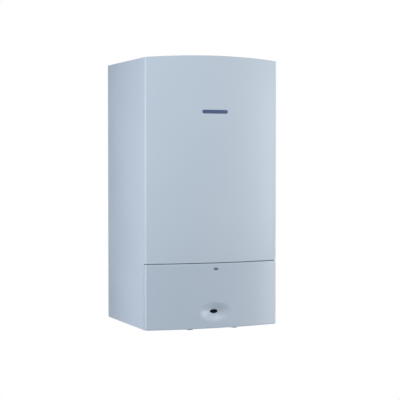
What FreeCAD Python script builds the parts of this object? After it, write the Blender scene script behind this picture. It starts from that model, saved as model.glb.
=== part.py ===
import FreeCAD, Part
import os
import re
import Sketcher
from FreeCAD import Placement, Rotation, Vector

# Wall-hung open-flue gas boiler, millimetres.
# x runs to the viewer's right, y towards the wall (wall plane at 0), z up from the casing's lower edge.

SIZES = {
    # casing
    "casing_width": 450, "casing_depth": 375, "casing_height": 850, "crown_rise": 9, "front_bow": 25,
    "corner_radius": 5, "jacket_wall": 1.2, "jacket_hem": 15, "jacket_foot": 18, "cover_wall": 1.2,
    "fit_gap": 0.3, "cut_margin": 20, "screw_radius": 2.5, "screw_head": 4.5, "screw_head_height": 2.5,
    "screw_length": 6, "screw_setback": 90, "screw_clearance": 0.4,
    # chassis
    "chassis_wall": 1.5, "chassis_flange": 60, "chassis_drop": 10, "chassis_inset": 30,
    "hook_drop": 60, "hook_spacing": 300, "lower_hole_height": 50, "hook_radius": 6,
    "bracket_wall": 2, "bracket_depth": 120, "arm_wall": 2, "arm_height": 35, "arm_rise": 20, "arm_lap": 45,
    # flap
    "flap_height": 205.5, "flap_return": 15, "flap_wall": 3, "flap_gap": 1.2, "groove_gap": 3,
    "dish_width": 112, "dish_height": 62, "dish_depth": 13, "dish_offset": 40, "dish_level": 53,
    "lens_width": 27, "lens_height": 14, "lens_wall": 2.4, "lens_inset": 0.4, "lens_gap": 0.15,
    "hinge_level": 1.5, "hinge_spacing": 153, "hinge_pin": 2, "knuckle_radius": 6.5, "knuckle_width": 8,
    "lug_width": 4.5, "lug_gap": 0.6, "press_gap": 0.02, "running_gap": 0.05, "pin_inset": 0.3,
    "striker_width": 14, "striker_height": 12, "striker_drop": 10, "striker_reach": 45,
    "plunger_radius": 4, "plunger_length": 31, "plunger_travel": 3,
    "catch_width": 28, "catch_height": 22, "catch_depth": 36,
    # control box
    "control_base": 22, "control_headroom": 25.5, "control_depth": 84, "control_wall": 2.5,
    "fascia_wall": 3, "fascia_setback": 19, "board_gap": 36, "board_wall": 1.6, "board_inset": 18,
    "post_radius": 4, "post_inset": 30, "block_gap": 9, "block_half": 9,
    "knob_row": 112, "button_row": 52, "knob_margin": 80, "knob_step": 68,
    "knob_radius": 22, "knob_tip_radius": 19.5, "knob_height": 19, "knob_stem": 4, "knob_lift": 0.5,
    "grip_width": 9, "grip_height": 4, "stem_gap": 0.25,
    "switch_radius": 9, "button_margin": 76, "button_step": 34, "button_radius": 6.5,
    "button_lift": 4, "button_collar": 1.8, "button_collar_height": 2, "button_travel": 2,
    "display_place": 14, "display_width": 58, "display_height": 30, "gauge_margin": 108,
    "gauge_radius": 28, "gauge_rim": 4, "gauge_rim_height": 2.5, "gauge_depth": 22, "gauge_wall": 2,
    "gauge_glass_wall": 2, "gauge_glass_inset": 0.6, "spindle_radius": 1, "spindle_length": 13,
    "needle_hub": 3, "needle_wall": 1.2, "needle_length": 20, "needle_width": 1.6, "needle_lift": 9,
    "guide_radius": 5, "guide_reach": 35, "gland_radius": 9, "gland_drop": 14, "gland_bore": 4,
    "gland_margin": 48, "gland_setback": 40,
    # water and gas connections
    "tail_pitch": 65, "tail_setback": 60, "tail_radius": 13.2, "tail_shank": 12, "tail_wall": 2,
         "tail_drop": 20,
    "tail_top": 60, "tail_collar": 18, "tail_collar_height": 9,
    "plate_width": 38, "plate_depth": 74, "plate_height": 165,
    "diverter_width": 44, "diverter_height": 85, "diverter_neck": 11, "neck_rise": 40,
    "actuator_depth": 52, "actuator_width": 38, "actuator_height": 46, "actuator_rise": 30,
    "stem_radius": 4, "stem_length": 44, "stem_travel": 8, "stem_bore": 28, "stem_end": 2,
    "relief_radius": 10, "relief_length": 30, "relief_rise": 70, "relief_stub": 4, "relief_stub_length": 14,
    "relief_knob_radius": 13, "relief_knob_length": 20, "relief_lift": 0.4,
    "sensor_radius": 15, "sensor_bore": 11.5, "sensor_height": 62, "sensor_bar": 5, "sensor_pin": 1.5,
    "turbine_hub": 4, "turbine_tip": 10.5, "turbine_height": 30, "turbine_blade": 1.6, "turbine_lift": 0.4,
    "pump_radius": 40, "pump_half": 20, "pump_neck": 12, "pump_reach": 52, "impeller_room": 34,
    "impeller_depth": 22, "impeller_radius": 32, "impeller_wall": 3, "impeller_vane": 9, "vane_wall": 3,
    "motor_radius": 42, "motor_length": 105, "shaft_radius": 5, "shaft_reach": 80, "impeller_lift": 3,
    "vent_offset": 28, "vent_radius": 11, "vent_height": 50, "vent_seat": 12, "vent_cap": 5,
    "vent_cap_height": 8,
    "gas_width": 58, "gas_depth": 66, "gas_height": 85, "coil_radius": 13, "coil_height": 32,
    "coil_spacing": 30, "gas_outlet_rise": 42,
    "pipe_radius": 9, "pipe_wall": 1, "pipe_bend": 12.5, "riser_level": 228, "riser_gap": 40,
         "pipe_stub": 12,
    "cold_radius": 7.5, "cold_bend": 16, "cold_rise": 30,
    "feed_radius": 8, "feed_bend": 18, "feed_gap": 26, "feed_rise": 34,
    # burner, combustion chamber and exchanger
    "rail_headroom": 120, "rail_wall": 3, "rail_seat": 14, "rail_hole_gap": 3,
    "chamber_side": 69, "chamber_setback": 120, "chamber_front": 55, "chamber_wall": 1.5, "lining_wall": 12,
    "bar_depth": 15, "bar_height": 24, "bar_lap": 10, "blade_margin": 33, "blade_wall": 12,
         "blade_height": 36,
    "blade_skin": 1, "blade_drop": 3, "manifold_radius": 9, "manifold_inset": 14, "injector_radius": 3,
    "injector_hole": 4.5, "injector_gap": 3, "electrode_radius": 4, "electrode_spacing": 46,
         "electrode_rise": 22,
    "electrode_front": 26, "electrode_back": 48,
    "exchanger_height": 82, "exchanger_wall": 1.5, "fin_pitch": 9, "fin_wall": 1, "fin_inset": 6,
    "fin_gap": 0.1, "tube_margin": 24,
    # draught hood, flue and expansion vessel
    "hood_wall": 1.2, "hood_skirt": 60, "hood_taper": 92, "hood_drop": 62, "hood_mouth": 78,
    "hood_slot_height": 26, "hood_slot_rise": 18, "hood_slot_inset": 34,
    "flue_radius": 65.5, "collar_wall": 2, "collar_rise": 5, "collar_gap": 3, "collar_flange": 2,
    "spill_radius": 8, "spill_length": 16, "spill_place": 90, "spill_rise": 50,
    "vessel_radius": 162, "vessel_depth": 78, "vessel_gap": 8, "vessel_edge": 26, "vessel_wall": 1.5,
    "vessel_level": 472, "vessel_stud": 14, "vessel_nipple": 9, "vessel_nipple_drop": 14,
    "vessel_pipe_radius": 5, "vessel_pipe_bend": 14, "vessel_pipe_setback": 21, "vessel_pipe_level": 252,
}

# Number of burner blades and of exchanger tubes
BLADES = 11
TUBES = 5

doc = FreeCAD.newDocument("open_flue_boiler")
sheet = doc.addObject("Spreadsheet::Sheet", "Sizes")
for row, (alias, value) in enumerate(SIZES.items(), start=1):
    sheet.set(f"A{row}", alias)
    sheet.set(f"B{row}", str(value))
    sheet.setAlias(f"B{row}", alias)
doc.recompute()

pieces = []


# Expressions: a size name in a text stands for its cell

def bound(text):
    return re.sub(r"\b[a-z]+(?:_[a-z]+)+\b", lambda name: "Sizes." + name.group(0), text)


def number(text):
    return float(sheet.evalExpression(text))


def vector(point):
    return Vector(*(number(coordinate) for coordinate in point))


# Primitives and booleans

TURNS = {
    "x": Rotation(Vector(0, 1, 0), 90),
    "y": Rotation(Vector(1, 0, 0), -90),
    "z": Rotation(),
}


def place(thing, x, y, z):
    for axis, text in zip("xyz", (x, y, z)):
        thing.setExpression(f"Placement.Base.{axis}", bound(text))
    return thing


def block(name, x, y, z):
    """A box between two x, two y and two z values."""
    box = doc.addObject("Part::Box", name)
    for side, (low, high) in zip(("Length", "Width", "Height"), (x, y, z)):
        box.setExpression(side, bound(f"({high}) - ({low})"))
    return place(box, x[0], y[0], z[0])


def rod(name, axis, centre, span, radius, tip=None):
    """A round bar along an axis; centre gives the two other coordinates, tip tapers it."""
    kind = "Part::Cone" if tip else "Part::Cylinder"
    bar = doc.addObject(kind, name)
    if tip:
        bar.setExpression("Radius1", bound(radius))
        bar.setExpression("Radius2", bound(tip))
    else:
        bar.setExpression("Radius", bound(radius))
    bar.setExpression("Height", bound(f"({span[1]}) - ({span[0]})"))
    bar.Placement = Placement(Vector(), TURNS[axis])
    base = list(centre)
    base.insert("xyz".index(axis), span[0])
    return place(bar, *base)


def oval(name, centre_x, centre_z, y, width, height):
    """An oval bar along y."""
    rim = doc.addObject("Part::Ellipse", name + "_rim")
    rim.setExpression("MajorRadius", bound(f"({width}) / 2"))
    rim.setExpression("MinorRadius", bound(f"({height}) / 2"))
    rim.Placement = Placement(Vector(), TURNS["y"])
    place(rim, centre_x, y[0], centre_z)
    bar = doc.addObject("Part::Extrusion", name)
    bar.Base = rim
    bar.DirMode = "Custom"
    bar.Dir = Vector(0, 1, 0)
    bar.setExpression("LengthFwd", bound(f"({y[1]}) - ({y[0]})"))
    bar.Solid = True
    return bar


def group(name, things):
    together = doc.addObject("Part::Compound", name)
    together.Links = things
    return together


def fuse(name, things):
    joined = doc.addObject("Part::MultiFuse", name)
    joined.Shapes = things
    joined.Refine = True
    return joined


def cut(name, base, tools):
    result = doc.addObject("Part::Cut", name)
    result.Base = base
    result.Tool = tools[0] if len(tools) == 1 else group(name + "_tools", tools)
    result.Refine = True
    return result


def common(name, one, other):
    shared = doc.addObject("Part::Common", name)
    shared.Base = one
    shared.Tool = other
    return shared


def piece(label, thing):
    """Keeps a thing as a sub-part under its own label."""
    thing.Label = label
    pieces.append(thing)
    return thing


def solids(label, shapes):
    """A sub-part of several like solids worked out in code."""
    feature = doc.addObject("Part::Feature", label + "_solids")
    feature.Shape = Part.makeCompound(shapes)
    feature.Placement = Placement()
    return piece(label, feature)


# Sketched bodies

def body(name):
    return doc.addObject("PartDesign::Body", name)


def sketch(owner, role, level="0"):
    """A sketch on one of the body's own planes, raised by a level along the plane's normal."""
    drawing = owner.newObject("Sketcher::SketchObject", owner.Name + "_sketch")
    plane = next(feature for feature in owner.Origin.OriginFeatures if feature.Role == role)
    drawing.AttachmentSupport = [(plane, "")]
    drawing.MapMode = "FlatFace"
    drawing.setExpression("AttachmentOffset.Base.z", bound(level))
    return drawing


def pin_point(drawing, geometry, end, x, y):
    """Holds a sketch point at two bound distances from the sketch's origin."""
    for kind, axis, text in (("DistanceX", -2, x), ("DistanceY", -1, y)):
        if text == "0":
            drawing.addConstraint(Sketcher.Constraint("PointOnObject", geometry, end, axis))
        else:
            rule = Sketcher.Constraint(kind, -1, 1, geometry, end, number(text))
            index = drawing.addConstraint(rule)
            drawing.setExpression(f"Constraints[{index}]", bound(text))


def outline(drawing, path):
    """A closed outline; a corner with four values is reached by an arc through its last two."""
    corners = [vector((x[0], x[1], "0")) for x in path]
    edges = []
    for index, here in enumerate(corners):
        following = (index + 1) % len(path)
        there, way = corners[following], path[following]
        if len(way) == 4:
            edge = Part.Arc(here, vector((way[2], way[3], "0")), there)
        else:
            edge = Part.LineSegment(here, there)
        number_of_edge = drawing.addGeometry(edge, False)
        start = 1 if drawing.getPoint(number_of_edge, 1).distanceToPoint(here) < 1e-6 else 2
        edges.append((number_of_edge, start, 3 - start, way))
    for (edge, _, end, way), (following, start, _, _) in zip(edges, edges[1:] + edges[:1]):
        drawing.addConstraint(Sketcher.Constraint("Coincident", edge, end, following, start))
        pin_point(drawing, following, start, way[0], way[1])
        if len(way) == 4:
            middle = drawing.addGeometry(Part.Point(vector((way[2], way[3], "0"))), True)
            pin_point(drawing, middle, 1, way[2], way[3])
            drawing.addConstraint(Sketcher.Constraint("PointOnObject", middle, 1, edge))


def prism(name, role, path, level, length):
    """A padded outline."""
    owner = body(name)
    drawing = sketch(owner, role, level)
    outline(drawing, path)
    pad = owner.newObject("PartDesign::Pad", name + "_pad")
    pad.Profile = drawing
    pad.setExpression("Length", bound(length))
    return owner


def turned(name, path, x, y, z):
    """An outline of radius and station revolved about its own axis, then set at a place."""
    owner = body(name)
    drawing = sketch(owner, "XY_Plane")
    outline(drawing, path)
    spin = owner.newObject("PartDesign::Revolution", name + "_spin")
    spin.Profile = drawing
    spin.ReferenceAxis = (drawing, ["V_Axis"])
    spin.Angle = 360
    return place(owner, x, y, z)


def front_run(half, depth, radius):
    """Left corner, bowed front and right corner of a plan outline, from left to right."""
    bend = f"({radius}) * (1 - sqrt(0.5))"
    return [
        (f"-({half})", f"-({depth} - ({radius}))"),
        (f"-({half} - ({radius}))", f"-({depth})", f"-({half} - {bend})", f"-({depth} - {bend})"),
        (f"{half} - ({radius})", f"-({depth})", "0", f"-({depth} + front_bow)"),
        (f"{half}", f"-({depth} - ({radius}))", f"{half} - {bend}", f"-({depth} - {bend})"),
    ]


def backwards(run):
    arcs = [()] + [corner[2:] for corner in reversed(run)][:-1]
    return [corner[:2] + arc for corner, arc in zip(reversed(run), arcs)]


# Tubes along straight runs joined by quarter bends

def bent_path(points, bend):
    corners = [vector(point) for point in points]
    edges, start = [], corners[0]
    for before, corner, after in zip(corners, corners[1:], corners[2:]):
        arriving = (corner - before).normalize() * bend
        leaving = (after - corner).normalize() * bend
        centre = corner - arriving + leaving
        middle = centre + (corner - centre).normalize() * bend
        if (corner - arriving).distanceToPoint(start) > 1e-6:
            edges.append(Part.LineSegment(start, corner - arriving).toShape())
        edges.append(Part.Arc(corner - arriving, middle, corner + leaving).toShape())
        start = corner + leaving
    edges.append(Part.LineSegment(start, corners[-1]).toShape())
    return Part.Wire(edges), (corners[1] - corners[0]).normalize(), corners[0]


def bent_bar(points, bend, radius):
    path, heading, start = bent_path(points, bend)
    ring = Part.Wire(Part.Circle(start, heading, radius).toShape())
    return path.makePipeShell([ring], True, False)


def tube(label, points, bend, radius, wall):
    bend, radius, wall = number(bend), number(radius), number(wall)
    return solids(label, [bent_bar(points, bend, radius).cut(bent_bar(points, bend, radius - wall))])


# Places shared by several pieces

HALF = "casing_width / 2"
SHELL = f"({HALF} - jacket_wall - fit_gap)"
FLANGE = f"({SHELL} - chassis_wall)"
CONTROL_HALF = f"({FLANGE} - arm_wall)"
BASE = "(jacket_wall + fit_gap)"
CHASSIS_TOP = "(casing_height - cover_wall - fit_gap)"
FLAP_REAR = "(casing_depth - flap_return)"
FASCIA = f"({FLAP_REAR} - fascia_setback)"
FASCIA_BACK = f"({FASCIA} - fascia_wall)"
CONTROL_BACK = f"({FASCIA_BACK} - control_depth)"
CONTROL_TOP = "(flap_height - control_headroom)"
BOARD = f"({FASCIA_BACK} - board_gap)"
BLOCK = f"({FASCIA_BACK} - block_gap)"
HEATING = f"(knob_margin - {CONTROL_HALF})"
HOT_WATER = f"({HEATING} + knob_step)"
ECO = f"({CONTROL_HALF} - button_margin)"
GAUGE = f"({CONTROL_HALF} - gauge_margin)"
GLAND = f"({CONTROL_HALF} - gland_margin)"
TAIL = "(-tail_setback)"
RAIL = f"({CONTROL_TOP} + rail_headroom)"
FEED_LEVEL = f"({CONTROL_TOP} + catch_height + feed_rise)"
CHAMBER = f"({FLANGE} - chamber_side)"
CHAMBER_FRONT = "(casing_depth - chamber_front)"
CHAMBER_MIDDLE = f"((chamber_setback + {CHAMBER_FRONT}) / 2)"
HOOD_TOP = "(casing_height - hood_drop)"
HOOD_SKIRT = f"({HOOD_TOP} - hood_taper)"
HOOD_BASE = f"({HOOD_SKIRT} - hood_skirt)"
TUBE_PITCH = f"(({CHAMBER_FRONT} - chamber_setback - 2 * tube_margin) / {TUBES - 1})"
EXCHANGER_BASE = f"({HOOD_BASE} - exchanger_height)"
TUBE_LEVEL = f"({EXCHANGER_BASE} + exchanger_height / 2)"
RISER = f"({CHAMBER} + riser_gap)"
PUMP_LEVEL = "(tail_top + pump_reach)"
PUMP = "(2 * tail_pitch)"
BLADE_PITCH = f"(2 * ({CHAMBER} - blade_margin) / {BLADES - 1})"


def both(half):
    return f"-({half})", half


# Casing

def casing():
    outer = front_run(HALF, "casing_depth", "corner_radius")
    inner = front_run(f"({HALF} - jacket_wall)", "(casing_depth - jacket_wall)",
                      "corner_radius - jacket_wall")
    edge = f"({HALF} - jacket_wall)"
    wrap_path = [(f"-({HALF})", "0")] + outer + [(HALF, "0"),
                                                 (edge, "0")] + backwards(inner) + [(f"-{edge}", "0")]
    wrap = prism("wrap", "XY_Plane", wrap_path, "0", "casing_height + crown_rise")

    hem_level = "flap_height + groove_gap"
    hem_rear = "-(casing_depth - jacket_hem)"
    hem_path = inner + [(edge, hem_rear), (f"-{edge}", hem_rear)]
    hem = prism("hem", "XY_Plane", hem_path, hem_level, "jacket_wall")
    foot_span = (f"-({FLAP_REAR} - flap_gap)", "-(chassis_wall + fit_gap)")
    inside = f"({HALF} - jacket_foot)"
    feet = [
        block("foot_left", (f"-({HALF} - jacket_wall / 2)", f"-{inside}"), foot_span, ("0", "jacket_wall")),
        block("foot_right", (inside, f"{HALF} - jacket_wall / 2"), foot_span, ("0", "jacket_wall")),
    ]
    folded = fuse("folded_jacket", [wrap, hem] + feet)

    wide, peak = f"({HALF} + cut_margin)", "(casing_height + crown_rise)"
    arch_path = [
        (f"-{wide}", "casing_height"), (f"-({HALF})", "casing_height"),
        (HALF, "casing_height", "0", peak), (wide, "casing_height"),
        (wide, f"{peak} + cut_margin"), (f"-{wide}", f"{peak} + cut_margin"),
    ]
    above = prism("above_arch", "XZ_Plane", arch_path, "-cut_margin",
                  "casing_depth + front_bow + 2 * cut_margin")
    opening = block("flap_opening", both(wide), ("-(casing_depth + front_bow + cut_margin)", foot_span[0]),
                    ("-cut_margin", hem_level))
    holes = [rod("foot_hole", "z", (f"{side}({HALF} - jacket_foot / 2)", "-screw_setback"),
                 ("-cut_margin", "jacket_wall + fit_gap / 2"), "screw_radius + screw_clearance")
             for side in ("", "-")]
    piece("casing_jacket", cut("jacket", folded, [above, opening] + holes))

    screws = []
    for side in ("", "-"):
        centre = (f"{side}({HALF} - jacket_foot / 2)", "-screw_setback")
        head = rod("screw_head", "z", centre, ("-screw_head_height", "0"), "screw_head")
        shank = rod("screw_shank", "z", centre, ("0", "screw_length"), "screw_radius")
        screws.append(fuse("jacket_screw", [head, shank]))
    piece("jacket_screws", group("screws", screws))

    strip_path = [
        (f"-{SHELL}", "casing_height"), (SHELL, "casing_height", "0", peak),
        (SHELL, "casing_height - cover_wall"),
        (f"-{SHELL}", "casing_height - cover_wall", "0", f"{peak} - cover_wall"),
    ]
    strip = prism("cover_strip", "XZ_Plane", strip_path, "0", "casing_depth + front_bow")
    shrink = "(jacket_wall + fit_gap)"
    plan = front_run(SHELL, f"(casing_depth - {shrink})", f"corner_radius - {shrink}")
    cover_plan = prism("cover_plan", "XY_Plane", [(f"-{SHELL}", "0")] + plan + [(SHELL, "0")],
                       "casing_height - cut_margin", "2 * cut_margin")
    flue_hole = rod("flue_hole", "z", ("0", f"-{CHAMBER_MIDDLE}"),
                    ("casing_height - cut_margin", "casing_height + cut_margin"),
                    "flue_radius + collar_wall + collar_gap")
    piece("top_cover", cut("cover", common("cover_sheet", strip, cover_plan), [flue_hole]))


# Chassis

def chassis():
    plan = [(f"-{SHELL}", "0"), (f"-{SHELL}", "-chassis_flange"), (f"-{FLANGE}", "-chassis_flange"),
            (f"-{FLANGE}", "-chassis_wall"), (FLANGE, "-chassis_wall"), (FLANGE, "-chassis_flange"),
            (SHELL, "-chassis_flange"), (SHELL, "0")]
    pan = prism("pan", "XY_Plane", plan, BASE, f"{CHASSIS_TOP} - {BASE}")
    apron = block("apron", both(f"({HALF} - chassis_inset)"), ("-chassis_wall", "0"),
                  ("-chassis_drop", BASE))
    holes = [rod("wall_hole", "y", (f"{side}hook_spacing / 2", level), ("-cut_margin", "cut_margin"),
                 "hook_radius")
             for side in ("", "-") for level in ("casing_height - hook_drop", "lower_hole_height")]
    peak = "casing_height + crown_rise - cover_wall - fit_gap"
    crest_path = [(f"-{SHELL}", CHASSIS_TOP), (SHELL, CHASSIS_TOP, "0", peak)]
    crest = prism("crest", "XZ_Plane", crest_path, "0", "chassis_wall")
    piece("back_plate", cut("back", fuse("back_sheet", [pan, apron, crest]), holes))

    shelf = block("shelf", both(FLANGE), ("-bracket_depth", "-chassis_wall"),
                  (BASE, f"{BASE} + bracket_wall"))
    tail_holes = [rod("tail_hole", "z", (f"{index} * tail_pitch", TAIL), ("-cut_margin", "cut_margin"),
                      "tail_radius + fit_gap") for index in range(-2, 3)]
    screw_holes = [rod("bracket_hole", "z", (f"{side}({HALF} - jacket_foot / 2)", "-screw_setback"),
                       ("-cut_margin", "cut_margin"), "screw_radius + press_gap") for side in ("", "-")]
    piece("pipe_bracket", cut("bracket", shelf, tail_holes + screw_holes))

    level = ("control_base + arm_rise", "control_base + arm_rise + arm_height")
    run = (f"-{FASCIA_BACK}", "-(chassis_flange - arm_lap)")
    arms = [block("arm_left", (f"-{FLANGE}", f"-{CONTROL_HALF}"), run, level),
            block("arm_right", (CONTROL_HALF, FLANGE), run, level)]
    piece("control_arms", group("arms", arms))

    rails = []
    edge = f"({CHAMBER} - rail_seat)"
    depth = (f"-{CHAMBER_FRONT}", "-chassis_wall")
    height = (RAIL, f"{RAIL} + rail_wall")
    for side, x in (("-", (f"-{FLANGE}", f"-{edge}")), ("", (edge, FLANGE))):
        plate = block("rail_plate", x, depth, height)
        place_of_tube = tube_y(TUBES - 1) if side else tube_y(0)
        hole = rod("rail_hole", "z", (f"{side}{RISER}", place_of_tube),
                   (f"{RAIL} - cut_margin", f"{RAIL} + cut_margin"), "pipe_radius + rail_hole_gap")
        rails.append(cut("rail", plate, [hole]))
    piece("chamber_rails", group("rails", rails))


# Flap

def flap():
    def tray(name, shrink, rear, level, length):
        run = front_run(f"({HALF} - {shrink})", f"(casing_depth - {shrink})", f"corner_radius - {shrink}")
        path = [(f"-({HALF} - {shrink})", rear)] + run + [(f"{HALF} - {shrink}", rear)]
        return prism(name, "XY_Plane", path, level, length)

    outside = tray("flap_outside", "0", f"-{FLAP_REAR}", "0", "flap_height")
    inside = tray("flap_inside", "flap_wall", f"-{FLAP_REAR} + cut_margin", "flap_wall",
                  "flap_height - 2 * flap_wall")
    shell = cut("flap_shell", outside, [inside])

    peak = "(casing_depth + front_bow)"
    spread = "sqrt(1 - (dish_offset / (dish_depth + dish_offset))^2)"

    def dimple(name, grow):
        ball = doc.addObject("Part::Ellipsoid", name)
        ball.setExpression("Radius1", bound(f"dish_height / 2 / {spread} + {grow}"))
        ball.setExpression("Radius2", bound(f"dish_width / 2 / {spread} + {grow}"))
        ball.setExpression("Radius3", bound(f"dish_depth + dish_offset + {grow}"))
        ball.Angle1, ball.Angle2, ball.Angle3 = -90, 90, 360
        return place(ball, "0", f"-({peak} + dish_offset)", "dish_level")

    behind = block("behind_front", both(HALF), (f"-({peak} - flap_wall * 0.8)", f"-{FLAP_REAR}"),
                   ("0", "flap_height"))
    dish = common("dish_shell", dimple("dish_outer", "flap_wall"), behind)

    axis = ("-casing_depth", "hinge_level")
    reach = "(knuckle_width / 2 + lug_gap + lug_width)"
    lugs, notches, bores, pins = [], [], [], []
    for side in ("-", ""):
        centre = f"{side}hinge_spacing / 2"
        near = "(knuckle_width / 2 + lug_gap)"
        lugs.append(rod("lug_low", "x", axis, (f"{centre} - {reach}", f"{centre} - {near}"),
                        "knuckle_radius"))
        lugs.append(rod("lug_high", "x", axis, (f"{centre} + {near}", f"{centre} + {reach}"),
                        "knuckle_radius"))
        notches.append(block("notch", (f"{centre} - {near}", f"{centre} + {near}"),
                             ("-(casing_depth + knuckle_radius + lug_gap)", f"-{FLAP_REAR} + cut_margin"),
                             ("-cut_margin", "hinge_level + knuckle_radius + lug_gap")))
        bores.append(rod("pin_bore", "x", axis,
                         (f"{centre} - {reach} - cut_margin", f"{centre} + {reach} + cut_margin"),
                         "hinge_pin + press_gap"))
        pins.append(rod("hinge_rod", "x", axis,
                        (f"{centre} - {reach} + pin_inset", f"{centre} + {reach} - pin_inset"),
                        "hinge_pin"))
    striker_top = "(flap_height - striker_drop)"
    striker = block("striker", both("striker_width / 2"),
                    (f"-({peak} - flap_wall / 2)", f"-({peak} - flap_wall - striker_reach)"),
                    (f"{striker_top} - striker_height", striker_top))
    lens_hole = oval("lens_hole", "0", "dish_level", (f"-({peak} + cut_margin)", f"-{FLAP_REAR}"),
                     "lens_width + 2 * lens_gap", "lens_height + 2 * lens_gap")
    whole = fuse("flap_whole", [shell, dish, striker] + lugs)
    piece("control_flap", cut("flap", whole, [dimple("dish_inner", "0"), lens_hole] + notches + bores))
    floor = f"({peak} - dish_depth - lens_inset)"
    piece("flap_lens", oval("lens", "0", "dish_level", (f"-{floor}", f"-({floor} - lens_wall)"),
                            "lens_width", "lens_height"))
    piece("flap_hinge_pins", group("hinge_pins", pins))


# Control box behind the flap

def controls():
    front, back = f"-{FASCIA_BACK}", f"-{CONTROL_BACK}"
    case = block("case", both(CONTROL_HALF), (front, back), ("control_base", CONTROL_TOP))
    room = block("case_room", both(f"({CONTROL_HALF} - control_wall)"),
                 (f"{front} - cut_margin", f"{back} - control_wall"),
                 ("control_base + control_wall", f"{CONTROL_TOP} - control_wall"))
    posts = [rod("post", "y", (f"{side}({CONTROL_HALF} - post_inset)", level),
                 (f"-({BOARD} - board_wall)", back), "post_radius")
             for side in ("", "-") for level in ("control_base + post_inset",
                                                 f"{CONTROL_TOP} - post_inset")]
    axis = ("-casing_depth", "hinge_level")
    arms, bores = [], []
    for side in ("-", ""):
        centre = f"{side}hinge_spacing / 2"
        x = (f"{centre} - knuckle_width / 2", f"{centre} + knuckle_width / 2")
        arms.append(rod("knuckle", "x", axis, x, "knuckle_radius"))
        arms.append(block("knuckle_bar", x, ("-casing_depth", f"-({FASCIA_BACK} - post_inset)"),
                          ("hinge_level - knuckle_radius", "hinge_level + knuckle_radius")))
        arms.append(block("knuckle_web", x, (front, f"-({FASCIA_BACK} - post_inset)"),
                          ("hinge_level", "control_base + control_wall / 2")))
        bores.append(rod("knuckle_bore", "x", axis, (f"{x[0]} - cut_margin", f"{x[1]} + cut_margin"),
                         "hinge_pin + running_gap"))
    catch_level = "(flap_height - striker_drop - striker_height / 2)"
    catch = block("catch", both("catch_width / 2"), (f"-{FASCIA}", f"-({FASCIA} - catch_depth)"),
                  (CONTROL_TOP, f"{CONTROL_TOP} + catch_height"))
    nose = "(casing_depth + front_bow - flap_wall - striker_reach - fit_gap)"
    tail = f"({nose} - plunger_length)"
    bores.append(rod("catch_bore", "y", ("0", catch_level),
                     (f"-({FASCIA} + cut_margin)", f"-({tail} - plunger_travel - fit_gap)"),
                     "plunger_radius + running_gap"))
    tub = cut("tub", case, [room])
    piece("control_housing", cut("housing", fuse("housing_whole", [tub, catch] + posts + arms), bores))
    piece("latch_plunger", rod("plunger", "y", ("0", catch_level), (f"-{nose}", f"-{tail}"),
                               "plunger_radius"))

    face = (f"-{FASCIA}", f"-{FASCIA_BACK}")
    through = (f"-({FASCIA} + cut_margin)", f"-({FASCIA_BACK} - cut_margin)")
    plate = block("plate", both(CONTROL_HALF), face, ("control_base", CONTROL_TOP))
    knobs = {"heating_knob": HEATING, "hot_water_knob": HOT_WATER}
    buttons = {"main_switch": (HEATING, "switch_radius"),
               "reset_button": (f"({ECO} - 2 * button_step)", "button_radius"),
               "service_button": (f"({ECO} - button_step)", "button_radius"),
               "eco_button": (ECO, "button_radius")}
    holes = [rod("knob_hole", "y", (x, "knob_row"), through, "knob_stem + stem_gap")
             for x in knobs.values()]
    holes += [rod("button_hole", "y", (x, "button_row"), through, f"{radius} + stem_gap") for x,
              radius in buttons.values()]
    holes.append(rod("gauge_hole", "y", (GAUGE, "knob_row"), through, "gauge_radius + stem_gap"))
    holes.append(rod("guide_hole", "y", ("0", "dish_level"), through, "guide_radius + stem_gap"))
    window = ("display_place - display_width / 2", "display_place + display_width / 2")
    window_level = ("knob_row - display_height / 2", "knob_row + display_height / 2")
    holes.append(block("display_hole", (f"{window[0]} - stem_gap", f"{window[1]} + stem_gap"), through,
                       (f"{window_level[0]} - stem_gap", f"{window_level[1]} + stem_gap")))
    piece("control_fascia", cut("fascia", plate, holes))
    piece("display_window", block("window", window, face, window_level))

    card = block("card", both(f"({CONTROL_HALF} - board_inset)"), (f"-{BOARD}", f"-({BOARD} - board_wall)"),
                 ("control_base + board_inset", f"{CONTROL_TOP} - board_inset"))
    spots = [(x, "knob_row") for x in knobs.values()] + [(x, "button_row") for x,
                                                         radius in buttons.values()]
    blocks = [block("contact_block", (f"{x} - block_half", f"{x} + block_half"),
                    (f"-{BLOCK}", f"-({BOARD} - board_wall / 2)"),
                    (f"{level} - block_half", f"{level} + block_half")) for x, level in spots]
    module = block("display_module", window, (f"-{BLOCK}", f"-({BOARD} - board_wall / 2)"), window_level)
    piece("control_board", fuse("board", [card, module] + blocks))

    for label, x in knobs.items():
        skirt = f"({FASCIA} + knob_lift)"
        top = f"({skirt} + knob_height)"
        cap = rod("knob_cap", "y", (x, "knob_row"), (f"-{top}", f"-{skirt}"), "knob_tip_radius",
                  "knob_radius")
        grip = block("knob_grip", (f"{x} - grip_width / 2", f"{x} + grip_width / 2"),
                     (f"-({top} + grip_height)", f"-({top} - grip_height)"),
                     ("knob_row - knob_tip_radius * 0.92", "knob_row + knob_tip_radius * 0.92"))
        stem = rod("knob_shank", "y", (x, "knob_row"), (f"-({skirt} + knob_lift)", f"-({BLOCK} + fit_gap)"),
                   "knob_stem")
        piece(label, fuse(label + "_solid", [cap, grip, stem]))
    for label, (x, radius) in buttons.items():
        key = rod("key", "y", (x, "button_row"),
                  (f"-({FASCIA} + button_lift)", f"-({BLOCK} + button_travel + fit_gap)"), radius)
        collar = rod("key_collar", "y", (x, "button_row"),
                     (f"-({FASCIA_BACK} - fit_gap)", f"-({FASCIA_BACK} - fit_gap - button_collar_height)"),
                     f"{radius} + button_collar")
        piece(label, fuse(label + "_solid", [key, collar]))

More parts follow.
